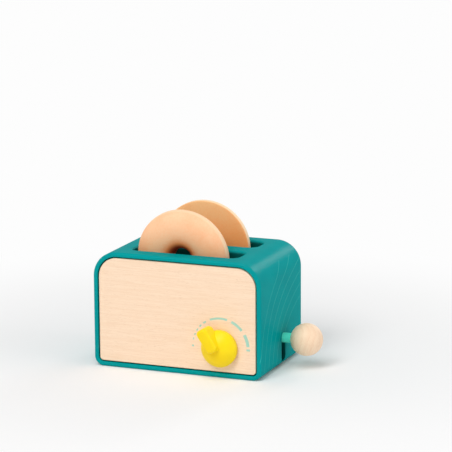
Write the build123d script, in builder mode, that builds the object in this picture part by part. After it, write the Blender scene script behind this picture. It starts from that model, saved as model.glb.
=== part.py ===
from build123d import *
from math import cos, radians, sin
import os

# A toy toaster. Millimetres, +Z up, the lever on the +X side and the dial on the -Y face.
# The origin is the centre of the flat underside.

# ---------------------------------------------------------------- driving sizes
# Bagel halves, which set the slots
bagel_radius = 45.8
bagel_hole = 10.0
bagel_thickness = 13.0
bagel_side = 4.5
bagel_cut_round = 1.1
front_bagel_x = -4.4
front_bagel_gap = 2.0
front_bagel_lean = 3.5
rear_bagel_x = -1.5
rear_bagel_gap = 7.2

# Bread slots, skirts and the wells that hang below them
slot_end_room = 7.45
slot_width = 27.4
slot_corner = 8.0
slot_gap = 21.2
slot_edge_round = 3.0
skirt_wall = 2.0
skirt_depth = 10.0
well_wall = 1.8
well_fit = 0.1
well_seat_gap = 0.3
well_bottom = 30.0
well_room = 1.8
slit_clearance = 1.0

# Body
height = 111.0
top_corner = 24.0
bottom_corner = 9.0
wall = 3.0
front_edge_round = 2.2
back_edge_round = 5.0
least_inner_corner = 1.0

# Front rim and panel
rim_width = 4.3
rim_inner_round = 1.0
panel_gap = 1.2
panel_sink = 1.0
panel_thickness = 6.0
panel_edge_round = 0.7
ledge_width = 8.0
ledge_thickness = 3.0

# Recessed field in the back wall
back_field_inset = 14.0
back_field_depth = 0.8

# Lever
lever_y = 4.0
lever_travel = 18.0
stem_radius = 4.8
stem_edge_round = 0.8
lever_slot_clearance = 0.4
ball_radius = 15.5
ball_reach = 23.2
stem_in_ball = 12.0
spigot_radius = 3.3
spigot_length = 9.5
glue_fit = 0.05

# Carriage, rods and springs
rod_radius = 2.0
rod_reach = 15.75
rod_to_side = 15.5
rod_fit = 0.02
rod_end_chamfer = 0.4
rod_end_gap = 1.0
running_fit = 0.05
rod_in_base = 2.0
rod_in_boss = 16.0
boss_radius = 5.0
tube_radius = 6.0
tube_rim = 4.0
tube_to_base = 1.5
tube_notch = 1.0
pocket_roof = 2.0
spring_pocket_radius = 4.7
socket_radius = 3.0
socket_height = 3.0
web_thickness = 4.0
web_foot = 2.5
web_window_width = 16.0
web_window_height = 14.0
web_window_round = 3.0
web_window_rim = 3.5
stem_boss_radius = 6.3
stem_boss_reach = 5.0
stem_boss_to_base = 0.7
shell_to_stem_boss = 5.0
bumper_thickness = 2.6
stop_gap = 0.3
spring_radius = 3.7
spring_wire = 0.9
spring_turns = 7
spring_end_gap = 0.1

# Racks
rack_top = 59.0
bread_gap = 0.3
rack_thickness = 3.0
rack_end_clearance = 4.0
rack_side_clearance = 3.2
rack_corner = 4.0
rack_windows = 6
rack_bar = 3.0
rack_flange = 1.6
rack_flange_drop = 3.5
arm_width = 9.0
arm_overlap = 7.5
arm_fit = 0.1
lug_thickness = 4.0

# Base plate
base_thickness = 3.0
base_lip = 1.0
base_corner = 6.0
base_clearance = 0.3
pad_radius = 6.0
pad_height = 2.0
rib_thickness = 2.0
rib_length = 24.0
rib_spacing = 70.0

# Screw posts
post_radius = 4.5
post_to_well = 2.35
post_to_tube = 2.2

# Screws, one family of pan heads
screw_radius = 1.45
pilot_fit = 0.05
pilot_spare = 0.5
screw_clearance_radius = 1.7
head_radius = 2.8
head_height = 2.0
head_round = 0.8
head_recess_radius = 3.4
head_recess_depth = 2.6
head_to_ledge_edge = 0.2
base_screw_length = 12.0
panel_screw_length = 7.0
rack_screw_length = 6.0
stem_screw_length = 10.0
dial_screw_length = 8.0
click_screw_length = 9.0
cross_width = 0.7
cross_length = 3.2
cross_depth = 0.8
panel_screw_low = 25.0
panel_screw_drop = 29.0

# Dial
dial_inset = 40.4
dial_z = 28.7
dial_gap = 0.6
dial_radius = 17.4
dial_side = 4.8
dial_crown = 9.0
dial_edge_round = 2.2
grip_angle = 30.0
grip_width = 11.4
grip_inner = 0.2
grip_outer = 23.6
grip_inner_height = 19.5
grip_outer_height = 22.4
grip_tip_height = 5.0
grip_nose_round = 4.6
grip_edge_round = 2.6
grip_blend = 1.2
shaft_radius = 3.0
shaft_flat = 0.7
bush_wall = 1.5
bush_flange_radius = 7.0
bush_flange = 1.2
wheel_gap = 0.2
wheel_radius = 9.0
wheel_thickness = 4.0
notch_count = 16
notch_radius = 1.3
notch_depth = 0.9
nose_gap = 0.25
finger_thickness = 1.2
finger_drop = 2.0
finger_reach = 16.0
foot_length = 11.0
foot_height = 5.6

# ------------------------------------------------------------ places that follow
# Across, from the slots' ends out to the side walls
slot_end = bagel_radius + slot_end_room
slot_length = 2 * slot_end
collar = skirt_wall + well_fit
post_x = slot_end + collar + well_wall + post_to_well + post_radius
rod_x = slot_end + rod_reach
side_x = rod_x + rod_to_side
width = 2 * side_x
arm_end = rod_x - tube_radius + tube_notch
screw_row_x = arm_end - arm_overlap / 2
stem_boss_end = side_x - wall - shell_to_stem_boss
ball_x = side_x + ball_reach
dial_x = side_x - dial_inset

# From the middle to the front: slots, wells, click wheel, panel
slot_y = (slot_gap + slot_width) / 2
slot_outer_y = slot_gap / 2 + slot_width
wheel_room = bush_flange + wheel_gap + wheel_thickness + head_height + well_room
front_y = -(slot_outer_y + well_wall + wheel_room + panel_thickness + panel_sink)
back_y = -front_y
depth = back_y - front_y
panel_front_y = front_y + panel_sink
panel_back_y = panel_front_y + panel_thickness
ledge_back_y = panel_back_y + ledge_thickness
wheel_front_y = panel_back_y + bush_flange + wheel_gap
wheel_back_y = wheel_front_y + wheel_thickness
dial_back_y = panel_front_y - dial_gap
rod_y = slot_y
post_y = rod_y + tube_radius + post_to_tube + post_radius

# Up from the floor
skirt_bottom = height - skirt_depth
post_bottom = base_thickness + pad_height
arm_bottom = rack_top - rack_thickness
tube_top = rack_top + tube_rim
tube_bottom = base_thickness + lever_travel + tube_to_base
pocket_top = arm_bottom - lug_thickness - pocket_roof
lever_height = base_thickness + lever_travel + stem_boss_to_base + stem_boss_radius
bumper_bottom = tube_top + stop_gap
boss_bottom = bumper_bottom + bumper_thickness
bread_z = rack_top + bread_gap + bagel_radius

base_width = 2 * (rod_x + socket_radius + base_lip)
base_depth = 2 * (post_y + pad_radius + base_lip)
bush_radius = shaft_radius + running_fit + bush_wall
panel_screw_x = side_x - rim_width - ledge_width + head_radius + head_to_ledge_edge

sides = ((-1, "front"), (1, "rear"))
rod_spots = [(rod_x, -rod_y), (rod_x, rod_y)]
post_spots = [(x, y) for x in (-post_x, post_x) for y in (-post_y, post_y)]
panel_screw_spots = [
    (x, z)
    for x in (-panel_screw_x, panel_screw_x)
    for z in (panel_screw_low, height - panel_screw_drop)
]

os.makedirs("parts", exist_ok=True)


# ---------------------------------------------------------------- shared outlines
def front_plane(y):
    """An upright plane at depth y that faces the front."""
    return Plane.XZ.offset(-y)


def dial_plane(y):
    """A plane across the dial's axis at depth y that faces the front."""
    return Plane((dial_x, y, dial_z), x_dir=(1, 0, 0), z_dir=(0, -1, 0))


def lever_plane(x):
    """A plane across the lever's axis at x that faces the side."""
    return Plane((x, lever_y, lever_height), x_dir=(0, 1, 0), z_dir=(1, 0, 0))


def body_face(plane, inset):
    """The body's outline on an upright plane, set in from the outside all round."""
    with BuildSketch(plane) as face:
        with Locations((0, height / 2)):
            Rectangle(width - 2 * inset, height - 2 * inset)
        top_row = face.vertices().group_by(Axis.Y)[-1]
        fillet(top_row, max(top_corner - inset, least_inner_corner))
        bottom_row = face.vertices().group_by(Axis.Y)[0]
        fillet(bottom_row, max(bottom_corner - inset, least_inner_corner))
    return face.sketch


def slot_face(z, side, grow):
    """One bread slot's outline at a height, grown by a wall; side is -1 in front."""
    with BuildSketch(Plane.XY.offset(z)) as face:
        with Locations((0, side * slot_y)):
            RectangleRounded(
                slot_length + 2 * grow, slot_width + 2 * grow, slot_corner + grow
            )
    return face.sketch


def round_face(plane, spots, radius):
    """Equal circles at several spots on a plane."""
    with BuildSketch(plane) as face:
        with Locations(*spots):
            Circle(radius)
    return face.sketch


def pan_screw(length):
    """A pan-head screw: its head stands on Z = 0 and its shank goes down from there."""
    with BuildPart() as pan:
        with BuildSketch(Plane.XY):
            Circle(head_radius)
        extrude(amount=head_height)
        fillet(pan.faces().sort_by(Axis.Z)[-1].edges(), head_round)
        with BuildSketch(Plane.XY.offset(head_height)):
            Rectangle(cross_length, cross_width)
            Rectangle(cross_width, cross_length)
        extrude(amount=-cross_depth, mode=Mode.SUBTRACT)
        with BuildSketch(Plane.XY):
            Circle(screw_radius)
        extrude(amount=-length)
    return pan.part


# ------------------------------------------------------------------- outer shell
# The air inside the shell, with the posts, bosses and slot skirts left standing.
with BuildPart() as shell_core:
    extrude(
        body_face(front_plane(ledge_back_y), wall),
        amount=-(back_y - wall - ledge_back_y),
    )
    with BuildSketch(Plane.XY):
        RectangleRounded(
            base_width + 2 * base_clearance,
            base_depth + 2 * base_clearance,
            base_corner + base_clearance,
        )
    extrude(amount=base_thickness)
    extrude(
        round_face(Plane.XY.offset(post_bottom), post_spots, post_radius),
        amount=height,
        mode=Mode.SUBTRACT,
    )
    extrude(
        round_face(Plane.XY.offset(boss_bottom), rod_spots, boss_radius),
        amount=height,
        mode=Mode.SUBTRACT,
    )
    for side, place in sides:
        extrude(
            slot_face(skirt_bottom, side, skirt_wall),
            amount=skirt_depth,
            mode=Mode.SUBTRACT,
        )

with BuildPart() as outer_shell:
    extrude(body_face(front_plane(front_y), 0), amount=-depth)
    fillet(outer_shell.faces().sort_by(Axis.Y)[0].edges(), front_edge_round)
    fillet(outer_shell.faces().sort_by(Axis.Y)[-1].edges(), back_edge_round)
    # Recess for the panel, and the opening inside its ledge
    extrude(
        body_face(front_plane(front_y), rim_width),
        amount=-(panel_back_y - front_y),
        mode=Mode.SUBTRACT,
    )
    rim_face = outer_shell.faces().sort_by(Axis.Y)[0]
    fillet(rim_face.inner_wires()[0].edges(), rim_inner_round)
    extrude(
        body_face(front_plane(panel_back_y), rim_width + ledge_width),
        amount=-ledge_thickness,
        mode=Mode.SUBTRACT,
    )
    # Shallow field in the back wall
    extrude(
        body_face(front_plane(back_y), back_field_inset),
        amount=back_field_depth,
        mode=Mode.SUBTRACT,
    )
    add(shell_core.part, mode=Mode.SUBTRACT)
    # Bread slots with soft edges
    for side, place in sides:
        extrude(slot_face(height, side, 0), amount=-skirt_depth, mode=Mode.SUBTRACT)
    top_face = outer_shell.faces().sort_by(Axis.Z)[-1]
    fillet([wire.edges() for wire in top_face.inner_wires()], slot_edge_round)
    # Lever slot in the right side
    with BuildSketch(lever_plane(side_x)):
        with Locations((0, -lever_travel / 2)):
            SlotCenterToCenter(
                lever_travel, 2 * (stem_radius + lever_slot_clearance), rotation=90
            )
    extrude(amount=-(side_x - stem_boss_end), mode=Mode.SUBTRACT)
    # Holes for the screws and rods
    extrude(
        round_face(Plane.XY.offset(post_bottom), post_spots, screw_radius + pilot_fit),
        amount=base_screw_length,
        mode=Mode.SUBTRACT,
    )
    extrude(
        round_face(Plane.XY.offset(boss_bottom), rod_spots, rod_radius + rod_fit),
        amount=rod_in_boss,
        mode=Mode.SUBTRACT,
    )
    extrude(
        round_face(front_plane(panel_back_y), panel_screw_spots, screw_clearance_radius),
        amount=-ledge_thickness,
        mode=Mode.SUBTRACT,
    )
outer_shell.part.label = "outer_shell"
export_step(outer_shell.part, "parts/outer_shell.step")

# ------------------------------------------------------------------- front panel
with BuildPart() as front_panel:
    extrude(
        body_face(front_plane(panel_front_y), rim_width + panel_gap),
        amount=-panel_thickness,
    )
    fillet(front_panel.faces().sort_by(Axis.Y)[0].edges(), panel_edge_round)
    with BuildSketch(dial_plane(panel_front_y)):
        Circle(bush_radius + glue_fit)
    extrude(amount=-panel_thickness, mode=Mode.SUBTRACT)
    extrude(
        round_face(front_plane(panel_back_y), panel_screw_spots, screw_radius + pilot_fit),
        amount=panel_screw_length - ledge_thickness + pilot_spare,
        mode=Mode.SUBTRACT,
    )
    click_foot_x = -(finger_reach + foot_length / 2)
    click_foot_z = -(wheel_radius + nose_gap + 2 * (notch_radius - nose_gap)) - finger_drop
    with BuildSketch(dial_plane(panel_back_y)):
        with Locations((click_foot_x, click_foot_z)):
            Circle(screw_radius + pilot_fit)
    extrude(
        amount=click_screw_length - (wheel_back_y - panel_back_y) + pilot_spare,
        mode=Mode.SUBTRACT,
    )
front_panel.part.label = "front_panel"
export_step(front_panel.part, "parts/front_panel.step")

panel_screw = pan_screw(panel_screw_length)
with BuildPart() as panel_screws:
    for spot_x, spot_z in panel_screw_spots:
        with Locations(Plane((spot_x, ledge_back_y, spot_z), z_dir=(0, 1, 0))):
            add(panel_screw)
panel_screws.part.label = "panel_screws"
export_step(panel_screws.part, "parts/panel_screws.step")

# -------------------------------------------------------------------- base plate
with BuildPart() as base_plate:
    with BuildSketch(Plane.XY):
        RectangleRounded(base_width, base_depth, base_corner)
    extrude(amount=base_thickness)
    extrude(
        round_face(Plane.XY.offset(base_thickness), post_spots, pad_radius),
        amount=pad_height,
    )
    extrude(
        round_face(Plane.XY.offset(base_thickness), rod_spots, socket_radius),
        amount=socket_height,
    )
    # Ribs that hold the wells up against the shell
    with BuildSketch(Plane.XY.offset(base_thickness)):
        with GridLocations(rib_spacing, 2 * slot_y, 2, 2):
            Rectangle(rib_thickness, rib_length)
    extrude(amount=well_bottom - base_thickness)
    socket_top = Plane.XY.offset(base_thickness + socket_height)
    extrude(
        round_face(socket_top, rod_spots, rod_radius + rod_fit),
        amount=-(socket_height + rod_in_base),
        mode=Mode.SUBTRACT,
    )
    extrude(
        round_face(Plane.XY, post_spots, screw_clearance_radius),
        amount=post_bottom,
        mode=Mode.SUBTRACT,
    )
    extrude(
        round_face(Plane.XY, post_spots, head_recess_radius),
        amount=head_recess_depth,
        mode=Mode.SUBTRACT,
    )
base_plate.part.label = "base_plate"
export_step(base_plate.part, "parts/base_plate.step")

base_screw = pan_screw(base_screw_length)
with BuildPart() as base_screws:
    for spot_x, spot_y in post_spots:
        with Locations(Plane((spot_x, spot_y, head_recess_depth), z_dir=(0, 0, -1))):
            add(base_screw)
base_screws.part.label = "base_screws"
export_step(base_screws.part, "parts/base_screws.step")

# ------------------------------------------------------------------- bread wells
# A liner under each slot: a collar round the skirt, a body and a closed floor.
well_step_top = skirt_bottom - well_seat_gap
well_top = height - wall - well_seat_gap
slit_top = rack_top + slit_clearance
slit_bottom = arm_bottom - lever_travel - slit_clearance
for side, place in sides:
    with BuildPart() as bread_well:
        extrude(slot_face(well_bottom, side, well_wall), amount=well_step_top - well_bottom)
        extrude(
            slot_face(well_step_top - well_wall, side, collar + well_wall),
            amount=well_top - well_step_top + well_wall,
        )
        extrude(
            slot_face(well_step_top, side, collar),
            amount=well_top - well_step_top,
            mode=Mode.SUBTRACT,
        )
        extrude(
            slot_face(well_bottom + well_wall, side, 0),
            amount=well_step_top - well_bottom - well_wall,
            mode=Mode.SUBTRACT,
        )
        # Slit for the rack's arm
        with BuildSketch(Plane.YZ.offset(slot_end - slot_corner)):
            with Locations((side * slot_y, (slit_top + slit_bottom) / 2)):
                Rectangle(arm_width + 2 * slit_clearance, slit_top - slit_bottom)
        extrude(amount=slot_corner + 2 * well_wall, mode=Mode.SUBTRACT)
    bread_well.part.label = f"{place}_bread_well"
    export_step(bread_well.part, f"parts/{place}_bread_well.step")

# ---------------------------------------------------------------- rods and springs
rod_bottom = base_thickness - rod_in_base
rod_top = boss_bottom + rod_in_boss - rod_end_gap
coil_bottom = base_thickness + spring_wire / 2 + spring_end_gap
coil_height = pocket_top - base_thickness - spring_wire - 2 * spring_end_gap
for side, place in sides:
    with BuildPart() as guide_rod:
        with BuildSketch(Plane.XY.offset(rod_bottom)):
            with Locations((rod_x, side * rod_y)):
                Circle(rod_radius)
        extrude(amount=rod_top - rod_bottom)
        chamfer(guide_rod.edges().filter_by(GeomType.CIRCLE), rod_end_chamfer)
    guide_rod.part.label = f"{place}_guide_rod"
    export_step(guide_rod.part, f"parts/{place}_guide_rod.step")

    with BuildPart() as return_spring:
        with BuildLine() as coil:
            Helix(
                pitch=coil_height / spring_turns,
                height=coil_height,
                radius=spring_radius,
                center=(rod_x, side * rod_y, coil_bottom),
            )
        with BuildSketch(Plane(coil.line @ 0, z_dir=coil.line % 0)):
            RegularPolygon(spring_wire / 2, 6)
        sweep(is_frenet=True)
    return_spring.part.label = f"{place}_return_spring"
    export_step(return_spring.part, f"parts/{place}_return_spring.step")

with BuildPart() as stop_bumpers:
    bumper_plane = Plane.XY.offset(bumper_bottom)
    extrude(round_face(bumper_plane, rod_spots, boss_radius), amount=bumper_thickness)
    extrude(
        round_face(bumper_plane, rod_spots, rod_radius + running_fit),
        amount=bumper_thickness,
        mode=Mode.SUBTRACT,
    )
stop_bumpers.part.label = "stop_bumpers"
export_step(stop_bumpers.part, "parts/stop_bumpers.step")

# ---------------------------------------------------------------------- carriage
arm_spots = [(arm_end, -slot_y), (arm_end, slot_y)]
rack_screw_spots = [(screw_row_x, -slot_y), (screw_row_x, slot_y)]
with BuildPart() as carriage:
    # Two guide tubes and the web between them
    tube_plane = Plane.XY.offset(tube_bottom)
    extrude(round_face(tube_plane, rod_spots, tube_radius), amount=tube_top - tube_bottom)
    web_bottom = tube_bottom + web_foot
    with BuildSketch(Plane.YZ.offset(rod_x - web_thickness / 2)):
        with Locations((0, (web_bottom + tube_top) / 2)):
            Rectangle(2 * rod_y, tube_top - web_bottom)
        with Locations((lever_y, tube_top - web_window_rim)):
            RectangleRounded(
                web_window_width,
                web_window_height,
                web_window_round,
                align=(Align.CENTER, Align.MAX),
                mode=Mode.SUBTRACT,
            )
    extrude(amount=web_thickness)
    # Boss for the lever stem
    with BuildSketch(lever_plane(rod_x - stem_boss_reach)):
        Circle(stem_boss_radius)
    extrude(amount=stem_boss_end - rod_x + stem_boss_reach)
    # Lugs under the racks' arms, with room for the arms on top
    with BuildSketch(Plane.XY.offset(arm_bottom - lug_thickness)):
        with Locations(*arm_spots):
            Rectangle(2 * arm_overlap, arm_width)
    extrude(amount=lug_thickness)
    with BuildSketch(Plane.XY.offset(arm_bottom)):
        with Locations(*arm_spots):
            Rectangle(
                arm_overlap, arm_width + 2 * arm_fit, align=(Align.MAX, Align.CENTER)
            )
    extrude(amount=tube_top - arm_bottom, mode=Mode.SUBTRACT)
    # Bores for the rods, the springs, the stem and the screws
    extrude(
        round_face(tube_plane, rod_spots, rod_radius + running_fit),
        amount=tube_top - tube_bottom,
        mode=Mode.SUBTRACT,
    )
    extrude(
        round_face(tube_plane, rod_spots, spring_pocket_radius),
        amount=pocket_top - tube_bottom,
        mode=Mode.SUBTRACT,
    )
    with BuildSketch(lever_plane(stem_boss_end)):
        Circle(spigot_radius + glue_fit)
    extrude(amount=-spigot_length, mode=Mode.SUBTRACT)
    with BuildSketch(lever_plane(stem_boss_end)):
        Circle(screw_clearance_radius)
    extrude(amount=-(stem_boss_end - rod_x + stem_boss_reach), mode=Mode.SUBTRACT)
    extrude(
        round_face(Plane.XY.offset(arm_bottom), rack_screw_spots, screw_radius + pilot_fit),
        amount=-lug_thickness,
        mode=Mode.SUBTRACT,
    )
carriage.part.label = "carriage"
export_step(carriage.part, "parts/carriage.step")

# ------------------------------------------------------------------------- racks
# The tray that one slice stands on, with its arm out to the carriage.
rack_length = slot_length - 2 * rack_end_clearance
rack_width = slot_width - 2 * rack_side_clearance
window_pitch = (rack_length - rack_bar) / rack_windows
for side, place in sides:
    with BuildPart() as bread_rack:
        with BuildSketch(Plane.XY.offset(arm_bottom)):
            with Locations((0, side * slot_y)):
                RectangleRounded(rack_length, rack_width, rack_corner)
                with GridLocations(window_pitch, 0, rack_windows, 1):
                    Rectangle(
                        window_pitch - rack_bar,
                        rack_width - 2 * rack_bar,
                        mode=Mode.SUBTRACT,
                    )
            with Locations((arm_end, side * slot_y)):
                Rectangle(
                    arm_end - rack_length / 2 + rack_bar,
                    arm_width,
                    align=(Align.MAX, Align.CENTER),
                )
            with Locations((screw_row_x, side * slot_y)):
                Circle(screw_clearance_radius, mode=Mode.SUBTRACT)
        extrude(amount=rack_thickness)
        # Flange turned down round the tray
        with BuildSketch(Plane.XY.offset(arm_bottom)):
            with Locations((0, side * slot_y)):
                RectangleRounded(rack_length, rack_width, rack_corner)
                RectangleRounded(
                    rack_length - 2 * rack_flange,
                    rack_width - 2 * rack_flange,
                    rack_corner - rack_flange,
                    mode=Mode.SUBTRACT,
                )
        extrude(amount=-rack_flange_drop)
    bread_rack.part.label = f"{place}_rack"
    export_step(bread_rack.part, f"parts/{place}_rack.step")

rack_screw = pan_screw(rack_screw_length)
with BuildPart() as rack_screws:
    for spot_x, spot_y in rack_screw_spots:
        with Locations(Plane((spot_x, spot_y, rack_top))):
            add(rack_screw)
rack_screws.part.label = "rack_screws"
export_step(rack_screws.part, "parts/rack_screws.step")

# ------------------------------------------------------------------------- lever
stem_end = ball_x - ball_radius + stem_in_ball
with BuildPart() as lever_stem:
    with BuildSketch(lever_plane(stem_boss_end)):
        Circle(stem_radius)
    extrude(amount=stem_end - stem_boss_end)
    fillet(lever_stem.faces().sort_by(Axis.X)[-1].edges(), stem_edge_round)
    with BuildSketch(lever_plane(stem_boss_end)):
        Circle(spigot_radius)
    extrude(amount=-(spigot_length - glue_fit))
    with BuildSketch(lever_plane(stem_boss_end - spigot_length)):
        Circle(screw_radius + pilot_fit)
    extrude(amount=stem_screw_length, mode=Mode.SUBTRACT)
lever_stem.part.label = "lever_stem"
export_step(lever_stem.part, "parts/lever_stem.step")

stem_screw_part = pan_screw(stem_screw_length)
with BuildPart() as stem_screw:
    head_spot = (rod_x - stem_boss_reach, lever_y, lever_height)
    with Locations(Plane(head_spot, z_dir=(-1, 0, 0))):
        add(stem_screw_part)
stem_screw.part.label = "stem_screw"
export_step(stem_screw.part, "parts/stem_screw.step")

with BuildPart() as lever_ball:
    with Locations((ball_x, lever_y, lever_height)):
        Sphere(ball_radius)
    with BuildSketch(lever_plane(stem_end + glue_fit)):
        Circle(stem_radius + glue_fit)
    extrude(amount=-ball_radius, mode=Mode.SUBTRACT)
lever_ball.part.label = "lever_ball"
export_step(lever_ball.part, "parts/lever_ball.step")

# -------------------------------------------------------------------------- dial
# Grip fin, drawn in side view: local x out along the pointer, local y to the front
grip_along = Vector(-sin(radians(grip_angle)), 0, cos(radians(grip_angle)))
grip_across = Vector(cos(radians(grip_angle)), 0, sin(radians(grip_angle)))
with BuildPart() as grip_fin:
    with BuildSketch(Plane((dial_x, dial_back_y, dial_z), x_dir=grip_along, z_dir=grip_across)):
        Polygon(
            (grip_inner, 0),
            (dial_radius - dial_edge_round, 0),
            (grip_outer, grip_tip_height),
            (grip_outer, grip_outer_height),
            (grip_inner, grip_inner_height),
            align=None,
        )
    extrude(amount=grip_width / 2, both=True)
    end_rows = grip_fin.edges().filter_by(Axis.Y).group_by(Axis((0, 0, 0), grip_along))
    fillet(end_rows[0], grip_nose_round)
    end_rows = grip_fin.edges().filter_by(Axis.Y).group_by(Axis((0, 0, 0), grip_along))
    fillet(end_rows[-1], grip_edge_round)
    fillet(grip_fin.faces().sort_by(Axis.Y)[0].edges(), grip_edge_round)

with BuildPart() as dial_knob:
    # Disc with a domed face, turned about the dial's axis
    crown_radius = (dial_radius**2 + dial_crown**2) / (2 * dial_crown)
    with BuildSketch(Plane((dial_x, dial_back_y, dial_z))) as disc:
        with BuildLine():
            Polyline(
                (0, -dial_side - dial_crown),
                (0, 0),
                (dial_radius, 0),
                (dial_radius, -dial_side),
            )
            RadiusArc(
                (dial_radius, -dial_side), (0, -dial_side - dial_crown), crown_radius
            )
        make_face()
        rim_corner = disc.vertices().group_by(Axis.X)[-1].sort_by(Axis.Y)[0]
        fillet(rim_corner, dial_edge_round)
    revolve(axis=Axis((dial_x, 0, dial_z), (0, 1, 0)))
    disc_body = dial_knob.part
    add(grip_fin.part)
    fillet(new_edges(disc_body, grip_fin.part, combined=dial_knob.part), grip_blend)
    # Shaft with a flat that drives the click wheel
    with BuildSketch(dial_plane(dial_back_y)):
        Circle(shaft_radius)
    extrude(amount=-(wheel_front_y - dial_back_y))
    with BuildSketch(dial_plane(wheel_front_y)):
        Circle(shaft_radius)
        with Locations((0, shaft_radius - shaft_flat)):
            Rectangle(
                2 * shaft_radius,
                shaft_flat,
                align=(Align.CENTER, Align.MIN),
                mode=Mode.SUBTRACT,
            )
    extrude(amount=-wheel_thickness)
    with BuildSketch(dial_plane(wheel_back_y)):
        Circle(screw_radius + pilot_fit)
    extrude(amount=dial_screw_length + pilot_spare, mode=Mode.SUBTRACT)
dial_knob.part.label = "dial_knob"
export_step(dial_knob.part, "parts/dial_knob.step")

with BuildPart() as dial_bush:
    with BuildSketch(dial_plane(panel_back_y)):
        Circle(bush_radius)
    extrude(amount=panel_thickness)
    with BuildSketch(dial_plane(panel_back_y)):
        Circle(bush_flange_radius)
    extrude(amount=-bush_flange)
    with BuildSketch(dial_plane(panel_front_y)):
        Circle(shaft_radius + running_fit)
    extrude(amount=-(panel_thickness + bush_flange), mode=Mode.SUBTRACT)
dial_bush.part.label = "dial_bush"
export_step(dial_bush.part, "parts/dial_bush.step")

with BuildPart() as click_wheel:
    with BuildSketch(dial_plane(wheel_front_y)):
        Circle(wheel_radius)
        with PolarLocations(wheel_radius + notch_radius - notch_depth, notch_count, 90):
            Circle(notch_radius, mode=Mode.SUBTRACT)
        Circle(shaft_radius + glue_fit, mode=Mode.SUBTRACT)
        with Locations((0, shaft_radius - shaft_flat + glue_fit)):
            Rectangle(
                2 * shaft_radius,
                2 * shaft_flat,
                align=(Align.CENTER, Align.MIN),
            )
    extrude(amount=-wheel_thickness)
click_wheel.part.label = "click_wheel"
export_step(click_wheel.part, "parts/click_wheel.step")

dial_screw_part = pan_screw(dial_screw_length)
with BuildPart() as dial_screw:
    with Locations(Plane((dial_x, wheel_back_y, dial_z), z_dir=(0, 1, 0))):
        add(dial_screw_part)
dial_screw.part.label = "dial_screw"
export_step(dial_screw.part, "parts/dial_screw.step")

# A springy finger under the wheel: a foot on the panel, an arm and a round nose
nose_radius = notch_radius - nose_gap
nose_z = -(wheel_radius + nose_gap + nose_radius)
finger_z = nose_z - nose_radius - finger_drop
with BuildPart() as click_spring:
    with BuildSketch(dial_plane(wheel_front_y)):
        with Locations((0, nose_z)):
            Circle(nose_radius)
            Rectangle(
                2 * nose_radius, nose_z - finger_z, align=(Align.CENTER, Align.MAX)
            )
        with Locations((nose_radius, finger_z)):
            Rectangle(finger_reach + 2 * nose_radius, finger_thickness, align=Align.MAX)
    extrude(amount=-wheel_thickness)
    with BuildSketch(dial_plane(panel_back_y)):
        with Locations((click_foot_x, click_foot_z)):
            Rectangle(foot_length, foot_height)
            Circle(screw_clearance_radius, mode=Mode.SUBTRACT)
    extrude(amount=-(wheel_back_y - panel_back_y))
click_spring.part.label = "click_spring"
export_step(click_spring.part, "parts/click_spring.step")

click_screw = pan_screw(click_screw_length)
with BuildPart() as click_spring_screw:
    click_screw_spot = (dial_x + click_foot_x, wheel_back_y, dial_z + click_foot_z)
    with Locations(Plane(click_screw_spot, z_dir=(0, 1, 0))):
        add(click_screw)
click_spring_screw.part.label = "click_spring_screw"
export_step(click_spring_screw.part, "parts/click_spring_screw.step")

# ------------------------------------------------------------------------ bagels
# Half a bagel, drawn lying on its dome's side of Y = 0 and turned about the Y axis,
# then stood in its slot: centre x, gap to the slot's outer wall, lean to the front.
bagel_places = {
    "front": (front_bagel_x, front_bagel_gap, front_bagel_lean),
    "rear": (rear_bagel_x, rear_bagel_gap, 0),
}
bagel_middle = (bagel_radius + bagel_hole) / 2
for side, place in sides:
    bagel_x, outer_gap, lean = bagel_places[place]
    cut_y = side * (slot_outer_y - outer_gap - bagel_thickness)
    seat = Plane((bagel_x, cut_y, bread_z)).rotated((lean, 0, 0))
    with BuildPart() as bagel_half:
        with BuildSketch(seat) as slice_face:
            with BuildLine():
                Polyline(
                    (bagel_hole, side * bagel_side),
                    (bagel_hole, 0),
                    (bagel_radius, 0),
                    (bagel_radius, side * bagel_side),
                )
                EllipticalCenterArc(
                    (bagel_middle, side * bagel_side),
                    bagel_radius - bagel_middle,
                    bagel_thickness - bagel_side,
                    start_angle=90 - side * 90,
                    arc_size=180,
                )
            make_face()
            cut_corners = slice_face.vertices().group_by(Axis.Y)[0 if side > 0 else -1]
            fillet(cut_corners, bagel_cut_round)
        revolve(axis=Axis(seat.origin, seat.y_dir))
    bagel_half.part.label = f"{place}_bagel_half"
    export_step(bagel_half.part, f"parts/{place}_bagel_half.step")
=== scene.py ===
"""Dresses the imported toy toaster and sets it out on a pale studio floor."""

import logging
from collections.abc import Callable
from dataclasses import dataclass
from enum import Enum
from functools import cache, partial, reduce
from math import cos, pi, radians, sin, sqrt, tau

import bpy
from mathutils import Matrix, Vector


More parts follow.
